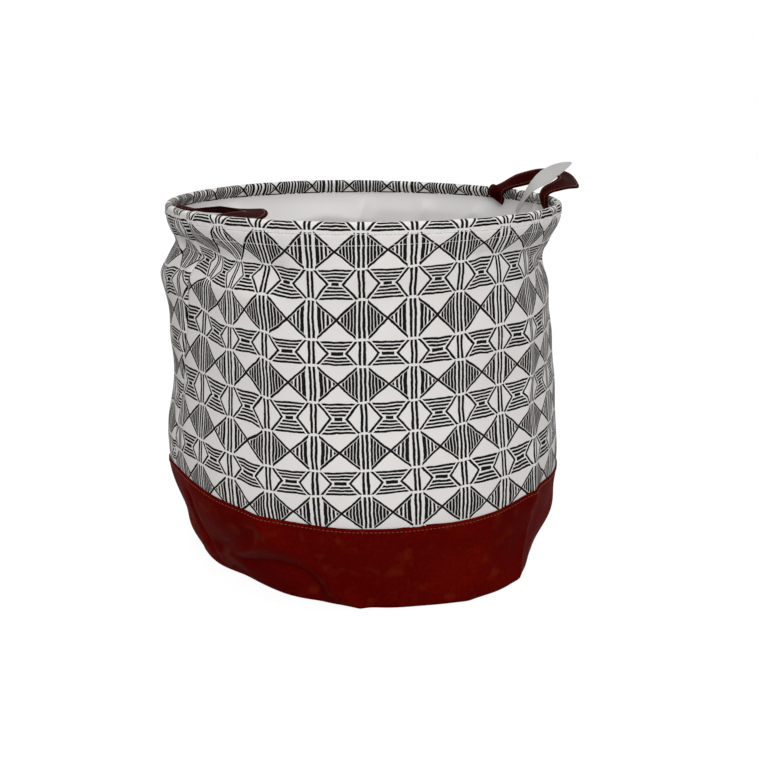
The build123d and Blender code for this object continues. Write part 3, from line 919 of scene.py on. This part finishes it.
def strap_frames(path, headings, rolls):
    """Directions across a strip and out of its face, level over its headings and then rolled."""
    shares, _ = length_shares(path)
    along = unit(np.gradient(path, axis=0))
    across = np.column_stack([-headings[:, 1], headings[:, 0], np.zeros(len(path))])
    across = unit(across - along * np.sum(across * along, axis=1)[:, None])
    turned = np.radians(np.interp(shares, *zip(*rolls)))[:, None]
    across = across * np.cos(turned) + np.cross(along, across) * np.sin(turned)
    return across, np.cross(along, across)


def tube_piece(name, rings):
    """A closed tube through rings of points, capped at both ends."""
    rows, columns = rings.shape[:2]
    caps = [tuple(range(columns)), tuple((rows - 1) * columns + i for i in range(columns))]
    tube = mesh_piece(name, rings.reshape(-1, 3).tolist(), ring_quads(rows, columns) + caps)
    shell = bmesh.new()
    shell.from_mesh(tube.data)
    bmesh.ops.recalc_face_normals(shell, faces=shell.faces)
    shell.to_mesh(tube.data)
    shell.free()
    return tube


# The straps' leather, with the straps' shade painted into its colours
shaded_strap_leather = leather("shaded_strap_leather", STRAP_SHADED_RED, STRAP_SHADED_DARK, STRAP_SHADED_WORN)
strap_thread = thread("strap_thread", STRAP_THREAD)
upper = HALF_SECTION + [(-a, b) for a, b in reversed(HALF_SECTION[:-1])]
section = np.array(upper + [(a, -b) for a, b in reversed(upper[1:-1])]) * (STRAP_WIDTH / 2, STRAP_THICK / 2)
for side, outwards, loop, rolls, (zone_start, zone_end) in (
    ("left", -1.0, LEFT_LOOP, LEFT_ROLL, LEFT_BEND),
    ("right", 1.0, RIGHT_LOOP, RIGHT_ROLL, RIGHT_BEND),
):
    path = smooth_path(loop, 160)
    sides, faces = strap_frames(path, strap_headings(path, outwards), rolls)
    rings = path[:, None] + sides[:, None] * section[None, :, :1] + faces[:, None] * section[None, :, 1:]
    strap = tube_piece(f"{side}_strap", rings)
    strap.data.materials.append(shaded_strap_leather)
    lines = []
    for edge in (-1.0, 1.0):
        for face in (-1.0, 1.0):
            line = path + sides * (edge * STITCH_SHARE * STRAP_WIDTH / 2)
            lines.append((line + faces * (face * STITCH_STAND * STRAP_THICK)).tolist())
    sewing = stitch_piece(f"{side}_strap_stitches", lines, strap_thread, **STRAP_STITCH)
    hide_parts(f"{side}_handle_strap", f"{side}_handle_ends")
    for piece in (strap, sewing):
        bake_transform(piece)

# The care label: a blank white tape sewn into the seam beside the right handle. It comes up over the hem,
# twists to show its face and ends in a corner above the strap.
LABEL_THICK = 0.0004
LABEL_CURL = 0.0016  # four times the height of its curled edges
LABEL_RIB = 0.0011  # pitch of the tape's ribs
LABEL_WHITE = (0.455, 0.447, 0.434, 1.0)
LABEL_GREY = (0.385, 0.377, 0.368, 1.0)
# Control points of its path in millimetres, from the sewn end to the corner
LABEL_PATH = [
    (187.2, 21.5, 350.0), (188.0, 16.5, 357.6), (188.8, 11.0, 363.5), (189.8, 5.8, 370.3),
    (193.2, 1.0, 378.5), (203.0, -1.2, 386.8), (216.0, -1.2, 394.2), (229.0, 1.0, 399.8),
    (244.0, 5.0, 403.6),
]
# Widths that show, and degrees that it is rolled by, at shares of the label's length
LABEL_WIDTHS = [
    (0.0, 0.0066), (0.22, 0.0070), (0.36, 0.0092), (0.50, 0.0146), (0.60, 0.0166), (0.74, 0.0140),
    (0.90, 0.0080), (1.0, 0.0022),
]
LABEL_ROLL = [(0.20, 0), (0.40, 40), (0.70, 66), (1.0, 62)]
LABEL_HEADING = (1.0, 0.0)


def label_material():
    """White woven tape: fine ribs across it and a faint satin shine."""
    made, shader, start = material("label_tape", Roughness=0.55, Specular_IOR_Level=0.30)
    chart = start.node("ShaderNodeUVMap", None, {"uv_map": "cloth"})
    rib = (chart.axis(1) * (2 * math.pi / LABEL_RIB)).sine() * 0.5 + 0.5
    cloud = noise(chart, scale=60.0, detail=3.0)
    cloud.between(LABEL_GREY, LABEL_WHITE).into(shader.inputs["Base Color"])
    bump(shader, rib, distance=0.0002, strength=0.35)
    return made


path = smooth_path(LABEL_PATH, 70)
sides, faces = strap_frames(path, np.tile(LABEL_HEADING, (len(path), 1)), LABEL_ROLL)
shares, label_length = length_shares(path)
across_shares = np.linspace(-0.5, 0.5, 21)
across = np.interp(shares, *zip(*LABEL_WIDTHS))[:, None] * across_shares
curl = LABEL_CURL * across_shares**2 * np.sin(np.pi * shares)[:, None]
points = path[:, None] + sides[:, None] * across[..., None] + faces[:, None] * curl[..., None]
chart = np.stack([across, (shares * label_length)[:, None] + 0.0 * across], axis=-1)
label = grid_piece("label", points, chart)
make_cloth(label, LABEL_THICK, label_material())
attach(label, "rim")
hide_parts("care_label")

# The set: a pale floor that runs out to white and takes the bin's soft shadow, a large soft lamp from the
# left of the front, a weaker one overhead, and the camera at the photograph's place.
FLOOR_REACH = 4.0  # from the bin's middle to each edge
FLOOR_GREY = (0.50, 0.50, 0.50, 1.0)
FLOOR_GLOW = 1.50
GLOW_SHARE = 0.60  # of the glow in the floor where it is seen directly
WHITE = (1.0, 1.0, 1.0, 1.0)
ROOM_LIGHT = 0.48  # strength of the room's light on the bin; seen directly, the room is white
LAMP_TARGET = (0.0, 0.0, 0.2)
CAMERA_PLACE = (-0.397, -1.079, 0.489)
CAMERA_HEADING = (0.358, 0.934)
CAMERA_PITCH = math.radians(14.9)  # downwards
CAMERA_SENSOR = 36.0
CAMERA_LENS = 53.0


def seen_directly(start):
    """1 for rays from the camera, from gloss or through glass, and 0 for the light on the bin."""
    kinds = ("Is Camera Ray", "Is Glossy Ray", "Is Transmission Ray")
    camera, gloss, through = [start.node("ShaderNodeLightPath", output=kind) for kind in kinds]
    return camera.most(gloss).most(through)


floor_corners = [(x * FLOOR_REACH, y * FLOOR_REACH, 0.0) for x, y in ((-1, -1), (1, -1), (1, 1), (-1, 1))]
floor = mesh_piece("floor", floor_corners, [(0, 1, 2, 3)])
floor_look = {"Base_Color": FLOOR_GREY, "Roughness": 0.9, "Specular_IOR_Level": 0.0}
floor_paint, shader, start = material("floor_paint", **floor_look)
glow = start.node("ShaderNodeEmission", {"Color": WHITE, "Strength": FLOOR_GLOW})
paint = Value(start.tree, shader.outputs[0])
mixed = start.node("ShaderNodeMixShader", {0: seen_directly(start) * GLOW_SHARE, 1: paint, 2: glow})
mixed.into(floor_paint.node_tree.nodes["Material Output"].inputs["Surface"])
floor.data.materials.append(floor_paint)

world = bpy.data.worlds.new("studio")
bpy.context.scene.world = world
world.use_nodes = True
backdrop = world.node_tree.nodes["Background"]
backdrop.inputs["Color"].default_value = WHITE
room = seen_directly(Value(world.node_tree)) * (1.0 - ROOM_LIGHT) + ROOM_LIGHT
room.into(backdrop.inputs["Strength"])


def aim(holder, place, direction):
    """Puts a lamp or camera at a place and points it in a direction."""
    holder.location = place
    level = math.hypot(direction[0], direction[1])
    holder.rotation_euler = (math.atan2(level, -direction[2]), 0.0, math.atan2(-direction[0], direction[1]))


def lamp(name, place, size, watts):
    """A square soft lamp that points at the bin."""
    light = bpy.data.lights.new(name, "AREA")
    light.size = size
    light.energy = watts
    aim(placed(name, light), place, np.array(LAMP_TARGET) - np.array(place))


lamp("key", (-0.75, -2.5, 1.45), size=1.4, watts=45.0)
lamp("top", (0.1, -0.1, 2.4), size=1.6, watts=16.0)

camera = bpy.data.cameras.new("camera")
camera.sensor_width = CAMERA_SENSOR
camera.lens = CAMERA_LENS
camera_holder = placed("camera", camera)
level_look = np.array(CAMERA_HEADING) * math.cos(CAMERA_PITCH)
aim(camera_holder, CAMERA_PLACE, (*level_look, -math.sin(CAMERA_PITCH)))
bpy.context.scene.camera = camera_holder
bpy.context.scene.view_settings.view_transform = "Standard"
